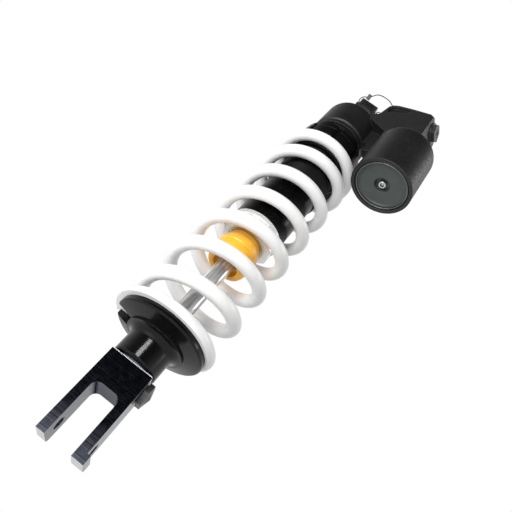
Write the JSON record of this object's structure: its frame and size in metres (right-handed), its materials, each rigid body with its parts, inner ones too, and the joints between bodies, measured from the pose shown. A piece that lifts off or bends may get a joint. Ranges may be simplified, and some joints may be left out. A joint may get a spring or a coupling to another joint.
{
  "type": "rear shock absorber",
  "caption": "Motorcycle rear shock absorber: coil spring over a damper with a lower clevis, a top bearing eye and a piggyback gas reservoir.",
  "frame": {"origin": "centre of the lower bolt hole, midway between the clevis ears", "axes": "+Z along the shock towards the top eye, +X along both bolt axes towards the reservoir side, -Y towards the clevis face that carries the reservoir in front"},
  "size_m": [0.1475, 0.1229, 0.5202],
  "materials": {
    "clevis_anodised": "black anodised, fine milling lines",
    "carrier_anodised": "gloss black anodised, turned",
    "spring_white": "gloss white powder coat",
    "shaft_chrome": "hard chrome, ground",
    "bump_amber": "semi-gloss amber elastomer",
    "polished_aluminium": "turned and polished",
    "tube_black": "gloss black anodised",
    "ring_black": "satin black anodised",
    "casting_grey": "matte dark grey, fine texture",
    "cap_green_grey": "satin green-grey anodised",
    "knob_grey": "satin grey anodised",
    "knob_black": "satin black anodised",
    "bearing_steel": "ground bearing steel",
    "plated_steel": "bright zinc plate",
    "spring_steel": "dark spring steel",
    "seal_rubber": "matte black rubber",
    "bush_bronze": "coated bronze",
    "piston_alloy": "turned",
    "band_plastic": "filled slide band",
    "tie_black": "satin black"
  },
  "bodies": {
    "damper": {"body_tube": "tube_black", "seal_head": "polished_aluminium", "dust_wiper": "seal_rubber", "oil_seal": "seal_rubber", "guide_bushing": "bush_bronze", "seal_head_oring": "seal_rubber", "bump_stop": "bump_amber", "bump_washer": "plated_steel", "body_oring": "seal_rubber", "head_casting": "casting_grey", "bearing_race": "bearing_steel", "eye_circlips": "spring_steel", "eye_seals": "seal_rubber", "spacer_tie": "tie_black", "reservoir_cap": "cap_green_grey", "cap_oring": "seal_rubber", "cap_circlip": "spring_steel", "gas_valve": "plated_steel", "adjuster_body": "knob_black", "coil_spring": "spring_white"},
    "shaft": {"lower_clevis": "clevis_anodised", "shaft_bell": "carrier_anodised", "spring_perch": "carrier_anodised", "chrome_shaft": "shaft_chrome", "topout_bumper": "seal_rubber", "topout_plate": "plated_steel", "rebound_shims": "spring_steel", "piston": "piston_alloy", "piston_band": "band_plastic", "compression_shims": "spring_steel", "piston_nut": "plated_steel", "detent_ball": "bearing_steel", "detent_spring": "spring_steel"},
    "rebound_knob": {"rebound_knob": "knob_black"},
    "rebound_rod": {"rebound_rod": "piston_alloy"},
    "upper_seat": {"spring_seat": "ring_black", "thrust_washer": "plated_steel"},
    "preload_ring": {"preload_ring": "ring_black"},
    "lock_ring": {"lock_ring": "ring_black"},
    "gas_piston": {"floating_piston": "piston_alloy", "floating_piston_oring": "seal_rubber", "floating_piston_band": "band_plastic"},
    "high_speed_knob": {"high_speed_knob": "knob_grey"},
    "low_speed_screw": {"low_speed_screw": "knob_grey"},
    "needle": {"adjuster_needle": "bearing_steel"},
    "eye_ball": {"bearing_ball": "bearing_steel", "eye_spacers": "plated_steel"},
    "valve_pin": {"valve_pin": "plated_steel"}
  },
  "joints": [
    {"name": "shaft_travel", "type": "slide", "parent": "damper", "child": "shaft", "axis": [0, 0, 1], "range_m": [0, 0.087], "deforming": ["coil_spring"]},
    {"name": "rebound_click", "type": "hinge", "parent": "shaft", "child": "rebound_knob", "pos_m": [0, 0, 0.0492], "axis": [1, 0, 0], "range_deg": [0, 540]},
    {"name": "rod_lift", "type": "slide", "parent": "shaft", "child": "rebound_rod", "axis": [0, 0, 1], "range_m": [0, 0.0015]},
    {"name": "seat_slide", "type": "slide", "parent": "damper", "child": "upper_seat", "axis": [0, 0, -1], "range_m": [0, 0.006]},
    {"name": "preload_turn", "type": "hinge", "parent": "upper_seat", "child": "preload_ring", "pos_m": [0, 0, 0.3735], "axis": [0, 0, 1], "range_deg": [0, 1440]},
    {"name": "lock_turn", "type": "hinge", "parent": "damper", "child": "lock_ring", "pos_m": [0, 0, 0.3855], "axis": [0, 0, 1], "range_deg": [0, 90]},
    {"name": "gas_piston_slide", "type": "slide", "parent": "damper", "child": "gas_piston", "axis": [0, 0, -1], "range_m": [0, 0.0085]},
    {"name": "high_speed_click", "type": "hinge", "parent": "damper", "child": "high_speed_knob", "pos_m": [0.07978, -0.05158, 0.451], "axis": [0.8398, -0.543, 0], "range_deg": [0, 720]},
    {"name": "low_speed_click", "type": "hinge", "parent": "damper", "child": "low_speed_screw", "pos_m": [0.07978, -0.05158, 0.451], "axis": [0.8398, -0.543, 0], "range_deg": [0, 1080]},
    {"name": "needle_slide", "type": "slide", "parent": "damper", "child": "needle", "axis": [-0.8398, 0.543, 0], "range_m": [0, 0.003]},
    {"name": "eye_swing", "type": "hinge", "parent": "damper", "child": "eye_ball", "pos_m": [0, 0, 0.485], "axis": [1, 0, 0], "range_deg": [-12, 12]},
    {"name": "valve_pin_press", "type": "slide", "parent": "damper", "child": "valve_pin", "axis": [0, 0, 1], "range_m": [0, 0.0008], "stiffness_N_per_m": 400}
  ],
  "couplings": [
    {"joint": "rebound_click", "follows": "rod_lift", "rad_per_m": 6283.2},
    {"joint": "preload_turn", "follows": "seat_slide", "rad_per_m": 4188.8},
    {"joint": "gas_piston_slide", "follows": "shaft_travel", "ratio": 0.094675},
    {"joint": "low_speed_click", "follows": "needle_slide", "rad_per_m": 6283.2}
  ]
}
